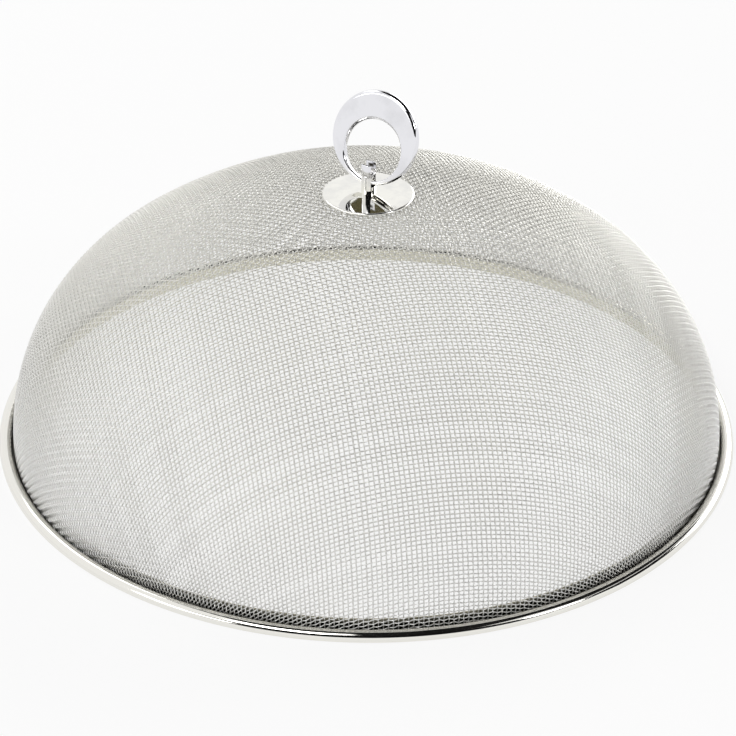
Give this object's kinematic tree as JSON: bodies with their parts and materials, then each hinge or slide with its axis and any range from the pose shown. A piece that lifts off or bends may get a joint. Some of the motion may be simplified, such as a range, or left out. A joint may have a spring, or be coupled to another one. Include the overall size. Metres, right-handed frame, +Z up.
{
  "type": "mesh food cover",
  "caption": "Domed cover of woven steel wire with a folded round rim and a ring handle on a slotted post, set over a dish to keep insects off.",
  "frame": {"origin": "middle of the rim, on the plane that the cover rests on", "axes": "+Z up through the dome and the handle post; the ring handle faces -Y and leans back towards +Y"},
  "size_m": [0.356, 0.356, 0.1736],
  "materials": {
    "woven_wire": "bright drawn wire",
    "polished_rim": "polished",
    "chromed_handle": "mirror",
    "plain_fixing": "plain"
  },
  "bodies": {
    "cover": {"warp_wires": "woven_wire", "weft_wires": "woven_wire", "rim_band": "polished_rim"},
    "handle": {"rosette_disc": "chromed_handle", "handle_post": "chromed_handle", "ring_pin": "chromed_handle", "inner_washer": "plain_fixing", "spring_washer": "plain_fixing", "fixing_nut": "plain_fixing"},
    "ring": {"ring_handle": "chromed_handle"}
  },
  "joints": [
    {"name": "handle_turn", "type": "hinge", "parent": "cover", "child": "handle", "pos_m": [0, 0, 0.125], "axis": [0, 0, 1], "continuous": true},
    {"name": "ring_tip", "type": "hinge", "parent": "handle", "child": "ring", "pos_m": [0, 0, 0.13212], "axis": [1, 0, 0], "range_deg": [0, 36]}
  ]
}
